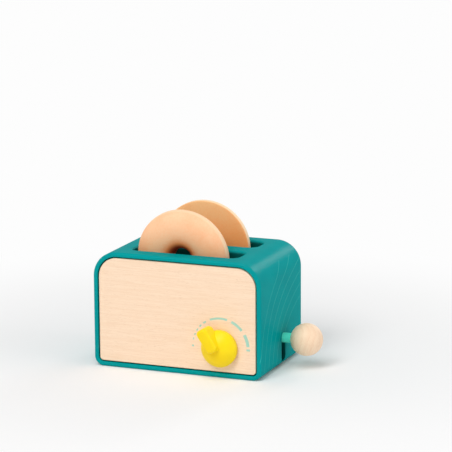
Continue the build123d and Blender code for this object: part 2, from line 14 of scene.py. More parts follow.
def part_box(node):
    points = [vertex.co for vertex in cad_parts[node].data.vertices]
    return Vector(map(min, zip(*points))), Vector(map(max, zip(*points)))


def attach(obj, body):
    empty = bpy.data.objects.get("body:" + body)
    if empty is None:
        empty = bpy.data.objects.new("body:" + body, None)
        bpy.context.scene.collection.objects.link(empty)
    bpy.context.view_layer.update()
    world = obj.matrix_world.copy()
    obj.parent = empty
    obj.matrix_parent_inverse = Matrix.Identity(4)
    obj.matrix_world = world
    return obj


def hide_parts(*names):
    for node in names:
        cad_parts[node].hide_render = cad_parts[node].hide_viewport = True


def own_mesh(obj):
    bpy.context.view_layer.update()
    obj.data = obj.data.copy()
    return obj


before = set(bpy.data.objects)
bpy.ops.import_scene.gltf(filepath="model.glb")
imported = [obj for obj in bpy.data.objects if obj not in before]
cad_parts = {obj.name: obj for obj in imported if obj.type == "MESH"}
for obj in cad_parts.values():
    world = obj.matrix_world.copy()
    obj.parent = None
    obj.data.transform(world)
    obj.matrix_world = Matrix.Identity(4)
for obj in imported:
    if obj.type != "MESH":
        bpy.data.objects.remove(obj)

log = logging.getLogger("toy_toaster")
MM = 0.001
SAME_PLACE = 0.001 * MM
CUT_TOLERANCE = 0.0001 * MM
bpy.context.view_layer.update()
Piece = bpy.types.Object
Material = bpy.types.Material
Node = bpy.types.Node
Socket = bpy.types.NodeSocket
Value = float | tuple | Socket
Colour = tuple[int, int, int]
Place = tuple[float, float, float]


def linear(colour: Colour | Socket) -> Value:
    """Turns an 8-bit screen colour into the linear colour that a shader takes.

    Args:
        colour: Red, green and blue from 0 to 255, or a socket.

    Returns:
        Linear red, green, blue and an alpha of one, or the socket as it is.
    """
    if isinstance(colour, Socket):
        return colour
    shares = [channel / 255 for channel in colour]
    return (*[s / 12.92 if s <= 0.04045 else ((s + 0.055) / 1.055) ** 2.4 for s in shares], 1.0)


# ---- shader nodes
class Graph:
    """Adds and joins the nodes of one node tree."""

    def __init__(self, tree: bpy.types.NodeTree) -> None:
        """Takes the tree to work on."""
        self.tree = tree

    def add(self, kind: str, inputs: dict | None = None, **settings: object) -> Node:
        """Adds a node.

        Args:
            kind: The node's type name.
            inputs: Input names or numbers, each with a value or a socket to join.
            settings: The node's own properties.

        Returns:
            The new node.
        """
        node = self.tree.nodes.new(kind)
        for name, setting in settings.items():
            setattr(node, name, setting)
        self.feed(node, inputs or {})
        return node

    def feed(self, node: Node, inputs: dict) -> None:
        """Gives a node's inputs their values.

        Args:
            node: The node.
            inputs: Input names or numbers, each with a value or a socket to join.
        """
        for name, value in inputs.items():
            if isinstance(value, Socket):
                self.tree.links.new(value, node.inputs[name])
            else:
                node.inputs[name].default_value = value

    def maths(self, operation: str, *values: Value, clamp: bool = False) -> Socket:
        """Returns the result of one maths operation on numbers or sockets."""
        inputs = dict(enumerate(values))
        return self.add("ShaderNodeMath", inputs, operation=operation, use_clamp=clamp).outputs[0]

    def mix(self, factor: Value, first: Colour | Socket, second: Colour | Socket) -> Socket:
        """Returns a blend of two colours."""
        inputs = {"Factor": factor, 6: linear(first), 7: linear(second)}
        return self.add("ShaderNodeMix", inputs, data_type="RGBA").outputs[2]

    def band(self, value: Value, low: float, high: float, start: float = 0.0, end: float = 1.0) -> Socket:
        """Returns a value that eases from start to end as the input goes from low to high."""
        inputs = {"Value": value, "From Min": low, "From Max": high, "To Min": start, "To Max": end}
        return self.add("ShaderNodeMapRange", inputs, interpolation_type="SMOOTHSTEP").outputs[0]

    def product(self, *values: Value) -> Socket:
        """Returns two or more values multiplied together."""
        return reduce(partial(self.maths, "MULTIPLY"), values)

    def distance(self, first: Value, second: Value) -> Socket:
        """Returns how far apart two places are."""
        ends = {0: first, 1: second}
        return self.add("ShaderNodeVectorMath", ends, operation="DISTANCE").outputs["Value"]

    def parts(self, vector: Value) -> bpy.types.NodeOutputs:
        """Returns the X, Y and Z of a vector."""
        return self.add("ShaderNodeSeparateXYZ", {0: vector}).outputs

    def sideways(self) -> Socket:
        """Returns one where the surface faces along X and nought where it faces across it."""
        normal = self.add("ShaderNodeNewGeometry").outputs["Normal"]
        return self.maths("ABSOLUTE", self.parts(normal)["X"])

    def noise(self, vector: Value, scale: float, detail: float = 2.0, rough: float = 0.5) -> Socket:
        """Returns a noise value from 0 to 1 at a place."""
        inputs = {"Vector": vector, "Scale": scale, "Detail": detail, "Roughness": rough}
        return self.add("ShaderNodeTexNoise", inputs).outputs["Fac"]

    def placed(
        self, vector: Value, scale: tuple = (1, 1, 1), turn: tuple = (0, 0, 0), shift: tuple = (0, 0, 0)
    ) -> Socket:
        """Returns a vector that is scaled, turned and shifted."""
        inputs = {"Vector": vector, "Scale": scale, "Rotation": turn, "Location": shift}
        return self.add("ShaderNodeMapping", inputs).outputs[0]

    def millimetres(self) -> Socket:
        """Returns the place on the piece in millimetres."""
        place = self.add("ShaderNodeTexCoord").outputs["Object"]
        return self.placed(place, scale=(1 / MM, 1 / MM, 1 / MM))


class Effect(Enum):
    """A surface effect that several finishes share, built once as a node group."""

    MOULDED = "moulded_surface"
    GRAIN = "wood_grain"
    CRUMB = "baked_crumb"
    BRUSHED = "brushed_metal"

    @cache
    def group(self) -> bpy.types.NodeTree:
        """Builds this effect's node group, once for all materials.

        Returns:
            The node group.
        """
        tree = bpy.data.node_groups.new(self.value, "ShaderNodeTree")
        tree.interface.new_socket("Place", in_out="INPUT", socket_type="NodeSocketVector")
        graph = Graph(tree)
        place = graph.add("NodeGroupInput").outputs["Place"]
        build = {
            Effect.MOULDED: moulded_values,
            Effect.GRAIN: grain_values,
            Effect.CRUMB: crumb_values,
            Effect.BRUSHED: brushed_values,
        }[self]
        values = build(graph, place)
        for name in values:
            tree.interface.new_socket(name, in_out="OUTPUT", socket_type="NodeSocketFloat")
        graph.add("NodeGroupOutput", values)
        return tree

    def put(self, graph: Graph, place: Socket) -> bpy.types.NodeOutputs:
        """Returns the effect's outputs at a place on the piece, in millimetres."""
        return graph.add("ShaderNodeGroup", {"Place": place}, node_tree=self.group()).outputs


def moulded_values(graph: Graph, place: Socket) -> dict:
    """Moulded plastic: a fine spark texture, and slow flow marks across the piece.

    Args:
        graph: The group's nodes.
        place: The place, in millimetres.

    Returns:
        The group's outputs by name.
    """
    spark = graph.noise(place, scale=2.6, detail=3.0, rough=0.6)
    flow = graph.noise(graph.placed(place, scale=(0.02, 0.03, 0.03)), scale=1.0, detail=2.0)
    handled = graph.noise(place, scale=0.09, detail=4.0, rough=0.7)
    return {"Flow": flow, "Handled": handled, "Height": spark}


def grain_values(graph: Graph, place: Socket) -> dict:
    """Beech with its grain along X: faint rings, long fibres and short dark flecks.

    Args:
        graph: The group's nodes.
        place: The place, in millimetres.

    Returns:
        The group's outputs by name.
    """
    heart_depth = 38.0
    ring_width = 5.5
    ring_sway = 2.6
    wander = graph.noise(graph.placed(place, scale=(0.012, 0.05, 0.05)), scale=1.0, detail=2.0)
    parts = graph.parts(place)
    across = graph.product(parts["Y"], parts["Y"])
    rise = graph.maths("ADD", parts["Z"], heart_depth)
    reach = graph.maths("SQRT", graph.maths("ADD", across, graph.product(rise, rise)))
    rings = graph.maths("DIVIDE", reach, ring_width)
    ring = graph.maths("FRACT", graph.maths("MULTIPLY_ADD", wander, ring_sway, rings))
    late = graph.maths("POWER", ring, 3.0)
    fibre = graph.noise(graph.placed(place, scale=(0.045, 1.5, 1.5)), scale=1.0, detail=4.0, rough=0.65)
    dash = graph.noise(graph.placed(place, scale=(0.30, 2.1, 2.1)), scale=1.0, detail=1.0)
    fleck = graph.band(dash, 0.63, 0.72)
    height = graph.maths("SUBTRACT", fibre, graph.product(fleck, 0.6))
    return {"Ring": late, "Fibre": fibre, "Fleck": fleck, "Height": height}


def crumb_values(graph: Graph, place: Socket) -> dict:
    """Baked surface: slow browning, a fine mottle and small pits.

    Args:
        graph: The group's nodes.
        place: The place, in millimetres.

    Returns:
        The group's outputs by name.
    """
    browning = graph.noise(place, scale=0.035, detail=2.0)
    mottle = graph.noise(place, scale=0.55, detail=5.0, rough=0.7)
    cells = graph.add("ShaderNodeTexVoronoi", {"Vector": place, "Scale": 0.42, "Randomness": 1.0})
    pit = graph.band(cells.outputs["Distance"], 0.16, 0.05)
    height = graph.maths("SUBTRACT", mottle, graph.product(pit, 0.8))
    return {"Browning": browning, "Mottle": mottle, "Pit": pit, "Height": height}


def brushed_values(graph: Graph, place: Socket) -> dict:
    """Drawn metal: fine lines round the piece and a little staining.

    Args:
        graph: The group's nodes.
        place: The place, in millimetres.

    Returns:
        The group's outputs by name.
    """
    lines = graph.noise(graph.placed(place, scale=(0.8, 0.8, 14.0)), scale=1.0, detail=3.0, rough=0.6)
    stain = graph.noise(place, scale=0.25, detail=4.0, rough=0.65)
    return {"Lines": lines, "Stain": stain, "Height": lines}


# ---- finishes
def new_material(name: str) -> tuple[Material, Graph, Node]:
    """Starts a material.

    Args:
        name: The material's name.

    Returns:
        The material, its nodes and its surface shader.
    """
    material = bpy.data.materials.new(name)
    material.use_nodes = True
    graph = Graph(material.node_tree)
    shader = material.node_tree.nodes["Principled BSDF"]
    return material, graph, shader


def join_surface(
    graph: Graph, shader: Node, colour: Socket, rough: Socket, height: Socket, depth: float
) -> None:
    """Feeds a shader its colour, its roughness and a relief, whose depth is in millimetres."""
    bump = graph.add("ShaderNodeBump", {"Height": height, "Distance": depth * MM, "Strength": 1.0})
    graph.feed(shader, {"Base Color": colour, "Roughness": rough, "Normal": bump.outputs["Normal"]})


@dataclass(frozen=True)
class ContourPrint:
    """Thin arcs printed on the two side walls, in a loose concentric set of their own."""

    centre_y: float = 70.0
    centre_z: float = -14.0
    sway: float = 12.0
    spacing: float = 11.0
    line_core: float = 0.014
    line_edge: float = 0.026
    first_reach: float = 80.0
    last_reach: float = 144.0
    fade: float = 2.0
    wall_x: float = 79.0
    wall_fade: float = 1.0

    def mask(self, graph: Graph, place: Socket) -> Socket:
        """Builds the mask of the lines.

        Args:
            graph: The material's nodes.
            place: The place, in millimetres.

        Returns:
            One on a line and nought elsewhere.
        """
        parts = graph.parts(place)
        sway = graph.noise(graph.placed(place, scale=(0.0, 0.012, 0.012)), scale=1.0, detail=0.0)
        depth = graph.maths("SUBTRACT", parts["Y"], self.centre_y)
        rise = graph.maths("SUBTRACT", parts["Z"], self.centre_z)
        square = graph.maths("MULTIPLY_ADD", depth, depth, graph.product(rise, rise))
        reach = graph.maths("MULTIPLY_ADD", sway, self.sway, graph.maths("SQRT", square))
        step = graph.maths("FRACT", graph.maths("DIVIDE", reach, self.spacing))
        off_line = graph.maths("ABSOLUTE", graph.maths("SUBTRACT", step, 0.5))
        line = graph.band(off_line, self.line_edge, self.line_core)
        near = graph.band(reach, self.first_reach - self.fade, self.first_reach)
        far = graph.band(reach, self.last_reach + self.fade, self.last_reach)
        outward = graph.band(graph.sideways(), 0.35, 0.75)
        off_middle = graph.maths("ABSOLUTE", parts["X"])
        outside = graph.band(off_middle, self.wall_x, self.wall_x + self.wall_fade)
        return graph.product(line, near, far, outward, outside)


@dataclass(frozen=True)
class SlotPaintedShade:
    """Painted shade on the inner faces of the bread slots and the lever's slot, darker than the outside."""

    lip_z: float = 111.0
    deep_z: float = 108.2
    bread_half_length: float = 57.0
    bread_half_depth: float = 41.0
    lever_y: float = 4.0
    lever_half_width: float = 8.0
    lever_top: float = 46.0
    lever_wall_x: float = 71.0
    fade: float = 1.0

    def mask(self, graph: Graph, place: Socket) -> Socket:
        """Builds the mask of the painted shade on the slots' inner faces.

        Args:
            graph: The material's nodes.
            place: The place, in millimetres.

        Returns:
            One deep in a slot and nought at its lip and elsewhere.
        """
        parts = graph.parts(place)
        # Painted shade deep in the bread slots, from the lip down.
        bread = graph.product(
            graph.band(parts["Z"], self.lip_z, self.deep_z),
            self.within(graph, parts["X"], self.bread_half_length),
            self.within(graph, parts["Y"], self.bread_half_depth),
        )
        # Painted shade on the cheeks of the lever's slot, below its top.
        lever = graph.product(
            graph.band(graph.sideways(), 0.6, 0.3),
            graph.band(parts["Z"], self.lever_top + self.fade, self.lever_top),
            self.within(graph, graph.maths("SUBTRACT", parts["Y"], self.lever_y), self.lever_half_width),
            graph.band(parts["X"], self.lever_wall_x - self.fade, self.lever_wall_x),
        )
        return graph.maths("MAXIMUM", bread, lever)

    def within(self, graph: Graph, offset: Socket, half: float) -> Socket:
        """Returns one where an offset is smaller than a half width, to either side."""
        return graph.band(graph.maths("ABSOLUTE", offset), half + self.fade, half)


@dataclass(frozen=True)
class Moulded:
    """A moulded plastic, coloured all through."""

    name: str
    colour: Colour
    shade: Colour
    roughness: float = 0.36
    relief: float = 0.012
    shine: float = 0.5
    gloss: float = 0.0
    contour_lines: Colour | None = None
    # A colour of painted shade for the inside of the slots, if any.
    slot_painted_shade: Colour | None = None

    def material(self) -> Material:
        """Builds the material.

        Returns:
            The new material.
        """
        material, graph, shader = new_material(self.name)
        place = graph.millimetres()
        skin = Effect.MOULDED.put(graph, place)
        tone = graph.band(skin["Flow"], 0.3, 0.7)
        colour = graph.mix(tone, self.colour, self.shade)
        if self.contour_lines:
            colour = graph.mix(ContourPrint().mask(graph, place), colour, self.contour_lines)
        # Painted shade: the slots' inner faces are drawn towards the slot colour.
        if self.slot_painted_shade:
            colour = graph.mix(SlotPaintedShade().mask(graph, place), colour, self.slot_painted_shade)
        coat = {"Coat Weight": self.gloss, "Coat Roughness": self.roughness}
        graph.feed(shader, {"Specular IOR Level": self.shine, **coat})
        polish = graph.band(skin["Handled"], 0.25, 0.8, self.roughness + 0.05, self.roughness - 0.05)
        join_surface(graph, shader, colour, polish, skin["Height"], self.relief)
        return material


@dataclass(frozen=True)
class Beech:
    """Fine sanded beech under a thin matt lacquer."""

    name: str
    pale: Colour
    deep: Colour
    fleck: Colour
    turn: Place = (0.0, 0.0, 0.0)
    shift: Place = (0.0, 0.0, 0.0)
    ring_share: float = 0.35
    fibre_share: float = 0.6
    fleck_share: float = 0.35
    roughness: float = 0.5
    relief: float = 0.02

    def material(self) -> Material:
        """Builds the material.

        Returns:
            The new material.
        """
        material, graph, shader = new_material(self.name)
        place = graph.placed(graph.millimetres(), turn=self.turn, shift=self.shift)
        grain = Effect.GRAIN.put(graph, place)
        fibre = graph.band(grain["Fibre"], 0.35, 0.7)
        rings = graph.product(grain["Ring"], self.ring_share)
        depth = graph.maths("MULTIPLY_ADD", fibre, self.fibre_share, rings, clamp=True)
        colour = graph.mix(depth, self.pale, self.deep)
        flecked = graph.product(grain["Fleck"], self.fleck_share)
        colour = graph.mix(flecked, colour, self.fleck)
        rough = graph.band(grain["Fibre"], 0.3, 0.7, self.roughness - 0.04, self.roughness + 0.08)
        join_surface(graph, shader, colour, rough, grain["Height"], self.relief)
        return material


@dataclass(frozen=True)
class Baked:
    """The toy bagel's matt paint, with painted shade at the hole and low down and a painted highlight at the
    rim.
    """

    name: str
    pale: Colour
    brown: Colour
    # The colour of the painted highlight round the outer rim.
    rim: Colour
    # The colour of the painted shadow on the hole's wall.
    deep: Colour
    centre: Place
    # Shares of the painted shade towards the bottom and round the hole.
    low_shade_share: float
    hole_shade_share: float
    rim_radius: float = 45.8
    rim_highlight_band: tuple[float, float] = (0.985, 1.002)
    hole_radius: float = 9.2
    hole_shade_band: tuple[float, float] = (2.7, 1.6)
    hole_shadow_band: tuple[float, float] = (2.1, 1.4)
    hole_shadow_share: float = 0.94
    # Where the painted shade and shadow of the hole are centred, off the hole's middle.
    shade_shift: Place = (-1.4, 0.0, 0.8)
    top: float = 148.0
    slot_top: float = 111.0
    blotch_share: float = 0.2
    mottle_share: float = 0.15
    pit_share: float = 0.3
    roughness: float = 0.62
    relief: float = 0.05

    def material(self) -> Material:
        """Builds the material.

        Returns:
            The new material.
        """
        material, graph, shader = new_material(self.name)
        place = graph.millimetres()
        crumb = Effect.CRUMB.put(graph, place)
        reach = graph.distance(place, self.centre)
        # The painted shade and shadow at the hole are centred a little left of and above its middle.
        heart = graph.distance(place, Vector(self.centre) + Vector(self.shade_shift))
        hole_shade_far, hole_shade_near = (share * self.hole_radius for share in self.hole_shade_band)
        # Painted shade round the hole, drawing the colour towards the brown.
        baked = graph.band(heart, hole_shade_far, hole_shade_near, 0.0, self.hole_shade_share)
        # Painted shade towards the bottom, from the top down to the slot's lip.
        low = graph.band(graph.parts(place)["Z"], self.top, self.slot_top, 0.0, self.low_shade_share)
        blotch = graph.band(crumb["Browning"], 0.35, 0.7, 0.0, self.blotch_share)
        fine = graph.band(crumb["Mottle"], 0.3, 0.75, 0.0, self.mottle_share)
        # The painted shade, the random browning and the mottle together.
        painted_shade = graph.maths("ADD", baked, low)
        tones = graph.maths("ADD", painted_shade, graph.maths("ADD", blotch, fine), clamp=True)
        colour = graph.mix(tones, self.pale, self.brown)
        # Painted highlight round the outer rim.
        edge = graph.band(reach, *(share * self.rim_radius for share in self.rim_highlight_band))
        colour = graph.mix(edge, colour, self.rim)
        # Painted shadow on the hole's wall.
        hole_shadow_far, hole_shadow_near = (share * self.hole_radius for share in self.hole_shadow_band)
        wall = graph.band(heart, hole_shadow_far, hole_shadow_near, 0.0, self.hole_shadow_share)
        colour = graph.mix(wall, colour, self.deep)
        pitted = graph.product(crumb["Pit"], self.pit_share)
        colour = graph.mix(pitted, colour, self.brown)
        rough = graph.band(crumb["Mottle"], 0.3, 0.7, self.roughness - 0.05, self.roughness + 0.1)
        join_surface(graph, shader, colour, rough, crumb["Height"], self.relief)
        return material


@dataclass(frozen=True)
class Steel:
    """Plain steel: a drawn rod, a spring's wire or a plated screw."""

    name: str
    colour: Colour
    stain: Colour
    roughness: float
    relief: float = 0.01

    def material(self) -> Material:
        """Builds the material.

        Returns:
            The new material.
        """
        material, graph, shader = new_material(self.name)
        metal = Effect.BRUSHED.put(graph, graph.millimetres())
        tone = graph.band(metal["Stain"], 0.4, 0.75)
        colour = graph.mix(tone, self.colour, self.stain)
        graph.feed(shader, {"Metallic": 1.0})
        rough = graph.band(metal["Lines"], 0.3, 0.7, self.roughness - 0.06, self.roughness + 0.08)
        join_surface(graph, shader, colour, rough, metal["Height"], self.relief)
        return material


@dataclass(frozen=True)
class Palette:
    """Every finish on the toy, by the piece that wears it."""

    # The shell's slot colour is painted shade inside the bread slots and the lever's slot.
    shell: Moulded = Moulded(
        "teal_shell_finish", (0, 154, 155), (0, 148, 150), roughness=0.26, shine=0.0, gloss=0.1,
        contour_lines=(58, 182, 175), slot_painted_shade=(0, 94, 93),
    )
    # The wells' teal is darker than the shell's as painted shade deep in the bread slots.
    well: Moulded = Moulded(
        "teal_well_painted_shade_finish", (0, 72, 71), (0, 68, 67), roughness=0.45, shine=0.0, gloss=0.1
    )
    base: Moulded = Moulded(
        "teal_base_finish", (0, 144, 145), (0, 136, 138), roughness=0.5, relief=0.03, shine=0.0, gloss=0.14
    )
    mint: Moulded = Moulded(
        "mint_stem_finish", (102, 253, 225), (92, 245, 217), roughness=0.24, shine=0.1, gloss=0.5
    )
    yellow: Moulded = Moulded(
        "yellow_dial_finish", (254, 226, 20), (250, 215, 10), roughness=0.36, shine=0.1, gloss=0.2
    )
    inner: Moulded = Moulded("inner_plastic_finish", (226, 226, 220), (216, 216, 210), roughness=0.45)
    rubber: Moulded = Moulded("rubber_stop_finish", (38, 38, 40), (30, 30, 32), roughness=0.75, relief=0.03)
    ink: Moulded = Moulded("mint_ink_finish", (168, 215, 198), (157, 208, 190), roughness=0.5)
    panel: Beech = Beech(
        "beech_panel_finish", (253, 225, 197), (243, 208, 174), (220, 180, 142), ring_share=0.2
    )
    ball: Beech = Beech(
        "beech_ball_finish", (252, 223, 192), (237, 192, 152), (222, 178, 138),
        turn=(0.3, 1.1, 0.5), shift=(12.0, 7.0, 20.0), ring_share=0.3, fibre_share=0.42, relief=0.015,
    )
    rod: Steel = Steel("rod_steel_finish", (196, 197, 200), (178, 178, 180), 0.28)
    spring: Steel = Steel("spring_steel_finish", (172, 173, 178), (150, 150, 152), 0.34)
    screw: Steel = Steel("screw_steel_finish", (188, 189, 194), (166, 166, 170), 0.36)


# ---- mesh working
def metres(*sizes: float) -> Vector:
    """Turns millimetres into metres."""
    return Vector(sizes) * MM


def edit_all() -> None:
    """Enters edit mode with the whole mesh selected."""
    bpy.ops.object.mode_set(mode="EDIT")
    bpy.ops.mesh.select_all(action="SELECT")


def leave_edit() -> None:
    """Goes back to object mode."""
    bpy.ops.object.mode_set(mode="OBJECT")


def extrude_edges(*step: float) -> None:
    """Extrudes the selected edges by a step along X, Y and Z, in metres."""
    bpy.ops.mesh.extrude_edges_move(TRANSFORM_OT_translate={"value": step})


def deselect_all() -> None:
    """Leaves nothing selected and no active object."""
    if bpy.context.object and bpy.context.object.mode != "OBJECT":
        leave_edit()
    bpy.ops.object.select_all(action="DESELECT")
    bpy.context.view_layer.objects.active = None


def take_new(name: str) -> Piece:
    """Names the object that an operator has just added.

    Args:
        name: The name for it and its mesh.

    Returns:
        The object.
    """
    piece = bpy.context.object
    piece.name = name
    piece.data.name = name
    return piece


def pick(piece: Piece, domain: str, wanted: Callable[[Vector], bool]) -> None:
    """Selects part of a mesh by its place and stays in edit mode.

    Args:
        piece: The object being edited.
        domain: VERT or EDGE.
        wanted: Says from the middle of a vertex or edge whether it is wanted.
    """
    bpy.ops.object.mode_set(mode="EDIT")
    bpy.ops.mesh.select_mode(type=domain)
    bpy.ops.mesh.select_all(action="DESELECT")
    leave_edit()
    places = [vertex.co for vertex in piece.data.vertices]
    groups = {
        "VERT": [(vertex, [vertex.index]) for vertex in piece.data.vertices],
        "EDGE": [(edge, edge.vertices) for edge in piece.data.edges],
    }[domain]
    for element, members in groups:
        element.select = wanted(sum((places[i] for i in members), Vector()) / len(members))
    bpy.ops.object.mode_set(mode="EDIT")


def apply_modifiers(piece: Piece) -> None:
    """Applies every modifier on a piece, in order.

    Args:
        piece: The piece.
    """
    bpy.context.view_layer.objects.active = piece
    for modifier in list(piece.modifiers):
        bpy.ops.object.modifier_apply(modifier=modifier.name)


def join_all(parts: list[Piece], name: str) -> Piece:
    """Joins several objects into one.

    Args:
        parts: The objects.
        name: The name of the whole.

    Returns:
        The joined object.
    """
    deselect_all()
    for part in parts:
        part.select_set(True)
    bpy.context.view_layer.objects.active = parts[0]
    bpy.ops.object.join()
    return take_new(name)


def settle(piece: Piece, place: Matrix, smooth_angle: float = 35.0) -> None:
    """Puts a finished mesh in its place, with its object left at the origin.

    Args:
        piece: The finished object, modelled about the origin.
        place: Where it goes, in metres.
        smooth_angle: Edges flatter than this are shaded smooth, in degrees.
    """
    deselect_all()
    piece.select_set(True)
    bpy.context.view_layer.objects.active = piece
    bpy.ops.object.transform_apply(location=True, rotation=True, scale=True)
    piece.data.transform(place)
    piece.data.update()
    edit_all()
    bpy.ops.mesh.remove_doubles(threshold=SAME_PLACE)
    bpy.ops.mesh.normals_make_consistent(inside=False)
    leave_edit()
    bpy.ops.object.shade_smooth_by_angle(angle=radians(smooth_angle))


def wear(piece: Piece, material: Material) -> None:
    """Gives all of a piece one material.

    Args:
        piece: The piece.
        material: Its material.
    """
    if not piece.material_slots:
        piece.data.materials.append(material)
    for slot in piece.material_slots:
        slot.material = material


def report(piece: Piece, note: str) -> None:
    """Logs one finished piece."""
    log.info("%s: %s, %d faces", piece.name, note, len(piece.data.polygons))


@cache
def shared(finish: Moulded | Steel) -> Material:
    """Returns the one material of a finish that several pieces wear."""
    return finish.material()


def dress_nodes(material: Material, *names: str) -> None:
    """Gives carried-over parts their material and logs each.

    Args:
        material: The material.
        names: The parts' names.
    """
    for name in names:
        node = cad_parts[name]
        wear(node, material)
        report(node, f"kept, {material.name}")


# ---- sub-assemblies
@dataclass
class Casing:
    """The moulded body: shell, wells and base with their screws."""

    palette: Palette

    def build(self) -> None:
        """Dresses the casing's parts."""
        dress_nodes(self.palette.shell.material(), "outer_shell")
        dress_nodes(self.palette.well.material(), "front_bread_well", "rear_bread_well")
        dress_nodes(self.palette.base.material(), "base_plate")
        dress_nodes(shared(self.palette.screw), "base_screws")


@dataclass(frozen=True)
class ScaleMark:
    """One printed mark of the dial's scale, between two angles from upright."""

    start: float
    end: float
    width: float


@dataclass
class DialScale:
    """The printed scale round the dial, from thin to thick as the setting rises."""

    centre: tuple[float, float] = (44.1, 29.0)
    radius: float = 27.6
    print_depth: float = 0.08
    step_angle: float = 1.5
    fewest_steps: int = 4
    marks: tuple[ScaleMark, ...] = (
        ScaleMark(-93.0, -89.5, 1.9),
        ScaleMark(-79.0, -75.0, 1.0),
        ScaleMark(-70.0, -65.5, 1.1),
        ScaleMark(-59.5, -54.5, 1.2),
        ScaleMark(-49.0, -43.5, 1.4),
        ScaleMark(-38.0, -31.5, 1.6),
        ScaleMark(-22.0, 14.0, 1.9),
        ScaleMark(23.5, 50.0, 2.6),
        ScaleMark(59.5, 84.0, 3.0),
        ScaleMark(88.5, 92.5, 3.4),
    )

    def mark(self, number: int, row: ScaleMark, face_y: float) -> Piece:
        """Spins one mark round the dial's axis.

        Args:
            number: The mark's place in the row.
            row: Its angles and width.
            face_y: The panel's front face, in metres.

        Returns:
            The mark as a closed thin bar.
        """
        deselect_all()
        bpy.ops.mesh.primitive_plane_add(size=1.0)
        piece = take_new(f"scale_mark_{number}")
        piece.scale = (row.width * MM, self.print_depth * MM, 1.0)
        piece.location = metres(self.radius, 0, 0)
        bpy.ops.object.transform_apply(location=True, rotation=False, scale=True)
        edit_all()
        sweep = row.end - row.start
        steps = max(self.fewest_steps, int(sweep / self.step_angle))
        bpy.ops.mesh.spin(
            steps=steps, angle=radians(sweep), center=(0, 0, 0), axis=(0, 1, 0), use_auto_merge=False
        )
        leave_edit()
        turn = Matrix.Rotation(radians(row.end - 90.0), 4, "Y")
        place = Matrix.Translation((self.centre[0] * MM, face_y, self.centre[1] * MM))
        settle(piece, place @ turn)
        return piece

    def build(self, material: Material) -> None:
        """Prints the whole scale on the panel as one piece.

        Args:
            material: The ink.
        """
        face_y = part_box("front_panel")[0].y
        marks = [self.mark(number, row, face_y) for number, row in enumerate(self.marks)]
        scale = join_all(marks, "dial_scale_print")
        wear(scale, material)
        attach(scale, "housing")
        report(scale, "printed scale")


